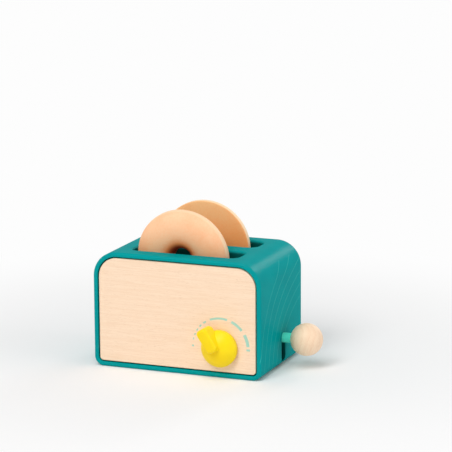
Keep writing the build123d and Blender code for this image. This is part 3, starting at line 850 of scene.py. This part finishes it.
@dataclass
class DialKnob:
    """The yellow dial: a domed disc, a grip fin that points outwards, and its shaft."""

    back: Place = (44.1, -55.6, 28.7)
    radius: float = 17.4
    side: float = 4.8
    crown: float = 9.0
    cap_foot: float = 0.9
    fin_turn: float = 30.0
    fin_width: float = 11.4
    fin_inner: float = -0.4
    fin_outer: float = 24.0
    fin_inner_height: float = 19.5
    fin_outer_height: float = 22.4
    fin_tip_height: float = 5.0
    fin_round: float = 2.6
    nose_round: float = 4.6
    tip_round: float = 4.2
    shaft_radius: float = 3.0
    shaft_flat: float = 0.7
    shaft_length: float = 12.0
    shaft_sink: float = 1.0
    flat_length: float = 4.0
    voxel: float = 0.32
    soften_steps: int = 8

    def disc(self) -> Piece:
        """Makes the disc's straight side, lying on Z = 0.

        Returns:
            The disc.
        """
        deselect_all()
        bpy.ops.mesh.primitive_cylinder_add(
            vertices=160, radius=self.radius * MM, depth=self.side * MM, location=(0, 0, self.side / 2 * MM)
        )
        piece = take_new("dial_disc")
        bpy.ops.object.transform_apply(location=True)
        return piece

    def dome(self) -> Piece:
        """Makes the crowned face: the cap that a plane cuts from a ball.

        Returns:
            The cap, which reaches a little way down into the disc.
        """
        ball = (self.radius**2 + self.crown**2) / (2 * self.crown)
        deselect_all()
        middle = (0, 0, (self.side + self.crown - ball) * MM)
        bpy.ops.mesh.primitive_uv_sphere_add(segments=160, ring_count=120, radius=ball * MM, location=middle)
        piece = take_new("dial_dome")
        bpy.ops.object.transform_apply(location=True)
        edit_all()
        low = self.side * self.cap_foot * MM
        bpy.ops.mesh.bisect(plane_co=(0, 0, low), plane_no=(0, 0, 1), use_fill=True, clear_inner=True)
        leave_edit()
        return piece

    def fin(self) -> Piece:
        """Makes the grip fin from a block whose ends are drawn to their heights.

        Returns:
            The fin.
        """
        deselect_all()
        bpy.ops.mesh.primitive_cube_add(size=1.0)
        piece = take_new("dial_fin")
        length = self.fin_outer - self.fin_inner
        middle = (self.fin_outer + self.fin_inner) / 2
        piece.scale = metres(self.fin_width, length, self.fin_inner_height)
        piece.location = metres(0, middle, self.fin_inner_height / 2)
        bpy.ops.object.transform_apply(location=True, rotation=False, scale=True)
        outer_y, near = middle * MM, 1 * MM
        pick(piece, "VERT", lambda spot: spot.y > outer_y and spot.z > near)
        rise = self.fin_outer_height - self.fin_inner_height
        bpy.ops.transform.translate(value=(0, 0, rise * MM))
        pick(piece, "VERT", lambda spot: spot.y > outer_y and spot.z < near)
        bpy.ops.transform.translate(value=(0, 0, self.fin_tip_height * MM))
        leave_edit()
        for end, corner_round in ((self.fin_inner, self.nose_round), (self.fin_outer, self.tip_round)):
            end_y = end * MM
            pick(piece, "EDGE", lambda spot: abs(spot.y - end_y) < near and abs(spot.x) > near)
            bpy.ops.mesh.bevel(offset=corner_round * MM, segments=10)
            leave_edit()
        rounding = piece.modifiers.new("rounding", "BEVEL")
        rounding.width = self.fin_round * MM
        rounding.segments = 8
        rounding.limit_method = "ANGLE"
        rounding.angle_limit = radians(40.0)
        apply_modifiers(piece)
        return piece

    def shaft(self) -> Piece:
        """Makes the shaft, with a flat at its far end.

        Returns:
            The shaft.
        """
        deselect_all()
        bpy.ops.mesh.primitive_cylinder_add(
            vertices=64, radius=self.shaft_radius * MM, depth=(self.shaft_length + self.shaft_sink) * MM,
            location=(0, 0, (self.shaft_sink - self.shaft_length) / 2 * MM),
        )
        piece = take_new("dial_shaft")
        bpy.ops.object.transform_apply(location=True)
        edit_all()
        flat_z = (self.flat_length - self.shaft_length) * MM
        bpy.ops.mesh.bisect(plane_co=(0, 0, flat_z), plane_no=(0, 0, 1))
        flat_y = (self.shaft_radius - self.shaft_flat) * MM
        pick(piece, "VERT", lambda spot: spot.z < flat_z - SAME_PLACE and spot.y > flat_y)
        bpy.ops.transform.resize(value=(1, 0, 1), center_override=(0, flat_y, 0))
        leave_edit()
        return piece

    def build(self, material: Material) -> None:
        """Joins the parts into one soft moulding and puts it on the panel.

        Args:
            material: The dial's plastic.
        """
        piece = join_all([self.disc(), self.dome(), self.fin(), self.shaft()], "dial_moulding")
        melt = piece.modifiers.new("melt", "REMESH")
        melt.mode = "VOXEL"
        melt.voxel_size = self.voxel * MM
        soften = piece.modifiers.new("soften", "SMOOTH")
        soften.factor = 0.5
        soften.iterations = self.soften_steps
        apply_modifiers(piece)
        turn = Matrix.Rotation(-radians(self.fin_turn), 4, "Y")
        upright = Matrix.Rotation(pi / 2, 4, "X")
        place = Matrix.Translation(metres(*self.back))
        settle(piece, place @ turn @ upright, smooth_angle=180.0)
        wear(piece, material)
        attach(piece, "dial")
        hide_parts("dial_knob")
        report(piece, "moulded")


@dataclass
class Front:
    """The beech panel with its printed scale, and the dial that turns on it."""

    palette: Palette

    def build(self) -> None:
        """Dresses the panel and the dial, and prints the scale."""
        dress_nodes(self.palette.panel.material(), "front_panel")
        DialKnob().build(self.palette.yellow.material())
        dress_nodes(shared(self.palette.inner), "dial_bush", "click_wheel", "click_spring")
        dress_nodes(shared(self.palette.screw), "dial_screw", "click_spring_screw", "panel_screws")
        DialScale().build(self.palette.ink.material())


@dataclass
class LeverSet:
    """The lever's ball and stem, the carriage, its racks and what guides it."""

    palette: Palette
    ball_radius: float = 15.5
    bore_radius: float = 4.85
    bore_chamfer: float = 0.5
    bore_depth: float = 12.05

    def ball(self) -> None:
        """Turns the ball and drills it for the stem."""
        low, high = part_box("lever_ball")
        radius = self.ball_radius * MM
        mouth_x = -sqrt(self.ball_radius**2 - (self.bore_radius + self.bore_chamfer) ** 2) * MM
        deselect_all()
        bpy.ops.mesh.primitive_uv_sphere_add(
            segments=96, ring_count=64, radius=radius, rotation=(0, pi / 2, 0)
        )
        piece = take_new("turned_ball")
        bpy.ops.object.transform_apply(rotation=True)
        edit_all()
        bpy.ops.mesh.bisect(
            plane_co=(mouth_x, 0, 0), plane_no=(1, 0, 0), clear_inner=True, threshold=CUT_TOLERANCE
        )
        self.drill(piece, mouth_x)
        centre = Vector((high.x - radius, (low.y + high.y) / 2, (low.z + high.z) / 2))
        settle(piece, Matrix.Translation(centre))
        wear(piece, self.palette.ball.material())
        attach(piece, "carriage")
        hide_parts("lever_ball")
        report(piece, "turned and drilled")

    def drill(self, piece: Piece, mouth_x: float) -> None:
        """Carries the ball's open edge in as a chamfer and a blind bore.

        Args:
            piece: The ball, open at the mouth.
            mouth_x: Where the mouth lies along the bore, in metres.
        """
        pick(piece, "EDGE", lambda spot: abs(spot.x - mouth_x) < SAME_PLACE)
        share = self.bore_radius / (self.bore_radius + self.bore_chamfer)
        chamfer = self.bore_chamfer * MM
        bore_end = (self.bore_depth - self.ball_radius) * MM
        extrude_edges(chamfer, 0, 0)
        bpy.ops.transform.resize(value=(1, share, share), center_override=(0, 0, 0))
        extrude_edges(bore_end - mouth_x - chamfer, 0, 0)
        bpy.ops.mesh.edge_face_add()
        leave_edit()

    def build(self) -> None:
        """Dresses the lever's parts, and makes the ball and the springs."""
        dress_nodes(self.palette.mint.material(), "lever_stem")
        dress_nodes(shared(self.palette.inner), "carriage", "front_rack", "rear_rack")
        dress_nodes(shared(self.palette.screw), "rack_screws", "stem_screw")
        dress_nodes(self.palette.rod.material(), "front_guide_rod", "rear_guide_rod")
        dress_nodes(self.palette.rubber.material(), "stop_bumpers")
        self.ball()
        Springs(self.palette.spring.material()).build()


@dataclass
class Springs:
    """The two return springs, as open coils of round wire."""

    material: Material
    wire: float = 0.9
    coil_radius: float = 3.7
    turns: int = 7
    rest_length: float = 47.0
    pressed_length: float = 29.0
    floor_z: float = 3.0
    steps_per_turn: int = 32

    @property
    def pressed_share(self) -> float:
        """Returns how much of its length a spring keeps with the lever down."""
        return self.pressed_length / self.rest_length

    def coil(self, node: str) -> None:
        """Winds one spring in the place of its node.

        Args:
            node: The spring's part name.
        """
        low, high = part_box(node)
        wire = self.wire * MM
        height = high.z - low.z - wire
        deselect_all()
        bpy.ops.mesh.primitive_circle_add(
            vertices=10, radius=wire / 2, fill_type="NGON",
            location=(self.coil_radius * MM, 0, 0), rotation=(pi / 2, 0, 0),
        )
        piece = take_new(f"{node}_wire")
        bpy.ops.object.transform_apply(location=True, rotation=True)
        winding = piece.modifiers.new("winding", "SCREW")
        winding.axis = "Z"
        winding.angle = tau * self.turns
        winding.screw_offset = height
        winding.steps = self.steps_per_turn * self.turns
        winding.render_steps = winding.steps
        winding.use_merge_vertices = False
        apply_modifiers(piece)
        centre = (low + high) / 2
        settle(piece, Matrix.Translation((centre.x, centre.y, low.z + wire / 2)), smooth_angle=60.0)
        wear(piece, self.material)
        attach(piece, "housing")
        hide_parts(node)
        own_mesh(piece)
        report(piece, "wound")

    def build(self) -> None:
        """Winds both springs."""
        for node in ("front_return_spring", "rear_return_spring"):
            self.coil(node)


@dataclass
class BagelHalf:
    """Half a toy bagel, flat where it is cut and domed towards -Y or +Y."""

    node: str
    body: str
    centre: Place
    towards: float
    lean: float
    slot: str
    finish: Baked
    radius: float = 45.8
    hole_radius: float = 9.2
    thickness: float = 13.0
    side: float = 4.5
    dome_foot: float = 0.1
    cut_round: float = 1.1
    face_rings: int = 8
    rim_reach: float = 0.2
    unevenness: float = 0.25
    wave_length: float = 30.0

    def build(self) -> None:
        """Models the half in the place of its node."""
        middle = (self.radius + self.hole_radius) / 2 * MM
        tube = (self.radius - self.hole_radius) / 2 * MM
        dome = (self.thickness - self.side) * MM
        deselect_all()
        bpy.ops.mesh.primitive_torus_add(
            major_segments=144, minor_segments=56, major_radius=middle, minor_radius=tube
        )
        piece = take_new(f"{self.node}_baked")
        edit_all()
        bpy.ops.transform.resize(value=(1, 1, dome / tube), center_override=(0, 0, 0))
        cut = self.dome_foot * MM
        bpy.ops.mesh.bisect(
            plane_co=(0, 0, cut), plane_no=(0, 0, 1), clear_inner=True, threshold=CUT_TOLERANCE
        )
        pick(piece, "EDGE", lambda spot: abs(spot.z - cut) < SAME_PLACE)
        floor_z = -self.side * MM
        extrude_edges(0, 0, floor_z - cut)
        self.close_face(piece, floor_z)
        pick(piece, "EDGE", lambda spot: abs(spot.z - floor_z) < SAME_PLACE and self.at_rim(spot))
        bpy.ops.mesh.bevel(offset=self.cut_round * MM, segments=4, profile=0.5)
        leave_edit()
        self.roughen(piece)
        tilt = Matrix.Rotation(radians(self.lean), 4, "X")
        upright = Matrix.Rotation(-self.towards * pi / 2, 4, "X")
        lift = Matrix.Translation((0, 0, self.side * MM))
        place = Matrix.Translation(metres(*self.centre))
        settle(piece, place @ tilt @ upright @ lift)
        wear(piece, self.finish.material())
        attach(piece, self.body)
        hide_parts(self.node)
        report(piece, "domed and cut")

    def at_rim(self, spot: Vector) -> bool:
        """Says whether a spot lies at the outer rim or at the hole's."""
        rims = (self.radius * MM, self.hole_radius * MM)
        return any(abs(spot.xy.length - rim) < self.rim_reach * MM for rim in rims)

    def close_face(self, piece: Piece, floor_z: float) -> None:
        """Closes the cut face with rings from the outer rim in to the hole.

        Args:
            piece: The half, open at its cut face.
            floor_z: Where that face lies, in metres.
        """
        middle = (self.radius + self.hole_radius) / 2 * MM
        pick(piece, "EDGE", lambda spot: abs(spot.z - floor_z) < SAME_PLACE and spot.xy.length > middle)
        reach = self.radius
        step = (self.radius - self.hole_radius) / self.face_rings
        for _ in range(self.face_rings):
            share = (reach - step) / reach
            extrude_edges(0, 0, 0)
            bpy.ops.transform.resize(value=(share, share, 1), center_override=(0, 0, 0))
            reach -= step
        bpy.ops.mesh.select_all(action="SELECT")
        bpy.ops.mesh.remove_doubles(threshold=SAME_PLACE)

    def roughen(self, piece: Piece) -> None:
        """Gives the dome a slight hand-finished unevenness.

        Args:
            piece: The half.
        """
        clouds = bpy.data.textures.new(f"{self.node}_unevenness", "CLOUDS")
        clouds.noise_scale = self.wave_length * MM
        uneven = piece.modifiers.new("uneven", "DISPLACE")
        uneven.texture = clouds
        uneven.strength = self.unevenness * MM
        uneven.mid_level = 1.0
        apply_modifiers(piece)


@dataclass
class Bagels:
    """The two bagel halves that stand in the slots."""

    front_centre: Place = (-4.4, -23.0, 105.1)
    front_lean: float = 3.5
    rear_centre: Place = (-1.5, 17.8, 105.1)

    def build(self) -> None:
        """Makes both halves."""
        # Each finish takes pale, brown, the painted highlight of the rim and the painted shadow in the hole;
        # the brown also carries the painted shade.
        crust = Baked(
            "bagel_crust_finish", (255, 207, 164), (255, 152, 86), (255, 216, 174), (150, 42, 4),
            centre=self.front_centre, low_shade_share=0.24, hole_shade_share=0.8,
        )
        cut = Baked(
            "bagel_cut_finish", (255, 202, 141), (255, 145, 60), (255, 224, 184), (110, 40, 12),
            centre=self.rear_centre, low_shade_share=0.6, hole_shade_share=0.3,
        )
        BagelHalf(
            "front_bagel_half", "front_bagel", self.front_centre, -1.0, self.front_lean, "bagel_crust", crust
        ).build()
        BagelHalf("rear_bagel_half", "rear_bagel", self.rear_centre, 1.0, 0.0, "bagel_cut", cut).build()


# ---- studio
@dataclass(frozen=True)
class SoftBox:
    """One square area lamp that points at the toy, in metres and watts."""

    name: str
    place: Place
    size: float
    power: float

    def build(self, target: Vector) -> None:
        """Hangs the lamp.

        Args:
            target: Where it points.
        """
        deselect_all()
        bpy.ops.object.light_add(type="AREA", location=self.place)
        lamp = bpy.context.object
        lamp.name = self.name
        lamp.data.shape = "SQUARE"
        lamp.data.size = self.size
        lamp.data.energy = self.power
        lamp.rotation_euler = (target - Vector(self.place)).to_track_quat("-Z", "Y").to_euler()


@dataclass
class Studio:
    """A pale floor in metres, soft lamps and the portrait's camera in millimetres."""

    target: Place = (50.8, -56.3, 145.0)
    distance: float = 2197.0
    azimuth: float = 21.85
    elevation: float = 12.11
    roll: float = -0.316
    focal_pixels: float = 2399.0
    frame_pixels: float = 452.0
    sensor: float = 36.0
    floor_reach: float = 7.0
    near_floor: float = 0.14
    far_floor: float = 0.5
    ambient: float = 0.46
    lamp_target: Place = (0.0, 0.0, 0.06)
    lamps: tuple[SoftBox, ...] = (
        SoftBox("key_box", (-0.4, -2.2, 2.15), 1.2, 31.0),
        SoftBox("high_box", (0.1, -1.2, 2.6), 1.2, 18.0),
        SoftBox("fill_box", (2.6, 0.0, 0.9), 1.6, 13.0),
        SoftBox("rim_box", (0.5, 2.3, 1.0), 0.6, 8.0),
    )

    def build(self) -> None:
        """Sets the floor, the lamps, the surroundings and the camera."""
        self.floor()
        for lamp in self.lamps:
            lamp.build(Vector(self.lamp_target))
        self.surroundings()
        self.camera()

    def floor(self) -> None:
        """Lays the pale floor."""
        deselect_all()
        bpy.ops.mesh.primitive_circle_add(vertices=96, radius=self.floor_reach, fill_type="NGON")
        floor = take_new("studio_floor")
        material, graph, shader = new_material("studio_floor")
        place = graph.add("ShaderNodeTexCoord").outputs["Object"]
        cloth = graph.noise(place, scale=0.7, detail=1.0)
        tone = graph.mix(cloth, (246, 246, 246), (249, 249, 249))
        graph.feed(shader, {"Base Color": tone, "Roughness": 0.85, "Specular IOR Level": 0.1})
        reach = graph.add("ShaderNodeVectorMath", {0: place}, operation="LENGTH").outputs["Value"]
        beyond = graph.band(reach, self.near_floor, self.far_floor)
        share = graph.product(self.seen_rays(graph), beyond)
        white = graph.add("ShaderNodeEmission", {"Color": linear((253, 253, 253))}).outputs[0]
        surface = graph.add("ShaderNodeMixShader", {0: share, 1: shader.outputs[0], 2: white}).outputs[0]
        graph.feed(material.node_tree.nodes["Material Output"], {"Surface": surface})
        wear(floor, material)
        report(floor, "laid")

    def seen_rays(self, graph: Graph) -> Socket:
        """Tells rays that show a surface, straight on or mirrored, from rays that light one.

        Args:
            graph: The nodes to add to.

        Returns:
            One for rays that show a surface and nought for the others.
        """
        path = graph.add("ShaderNodeLightPath").outputs
        mirrored = graph.maths("MAXIMUM", path["Is Glossy Ray"], path["Is Transmission Ray"])
        return graph.maths("MAXIMUM", path["Is Camera Ray"], mirrored)

    def surroundings(self) -> None:
        """Lights the scene evenly from all round, and shows white to the camera."""
        world = bpy.data.worlds.new("studio")
        bpy.context.scene.world = world
        world.use_nodes = True
        graph = Graph(world.node_tree)
        strength = graph.maths("MULTIPLY_ADD", self.seen_rays(graph), 1.0 - self.ambient, self.ambient)
        graph.feed(world.node_tree.nodes["Background"], {"Color": (1, 1, 1, 1), "Strength": strength})

    def camera(self) -> None:
        """Stands the camera where the portrait is taken from."""
        turn, pitch, tilt = map(radians, (self.azimuth, self.elevation, self.roll))
        back = Vector((sin(turn) * cos(pitch), -cos(turn) * cos(pitch), sin(pitch)))
        right = Vector((cos(turn), sin(turn), 0.0))
        level = Matrix((right, back.cross(right), back)).transposed()
        deselect_all()
        bpy.ops.object.camera_add()
        camera = bpy.context.object
        camera.name = "portrait_camera"
        spot = (Vector(self.target) + back * self.distance) * MM
        camera.matrix_world = Matrix.Translation(spot) @ level.to_4x4() @ Matrix.Rotation(tilt, 4, "Z")
        camera.data.sensor_width = self.sensor
        camera.data.lens = self.focal_pixels * self.sensor / self.frame_pixels
        camera.data.clip_start = 0.05
        camera.data.clip_end = 50.0
        bpy.context.scene.camera = camera


def main() -> None:
    """Builds the dressed toy and the studio."""
    logging.basicConfig(level=logging.INFO, format="%(name)s %(message)s")
    palette = Palette()
    Casing(palette).build()
    Front(palette).build()
    LeverSet(palette).build()
    Bagels().build()
    Studio().build()
    bpy.context.scene.view_settings.view_transform = "Standard"


if __name__ == "__main__":
    main()
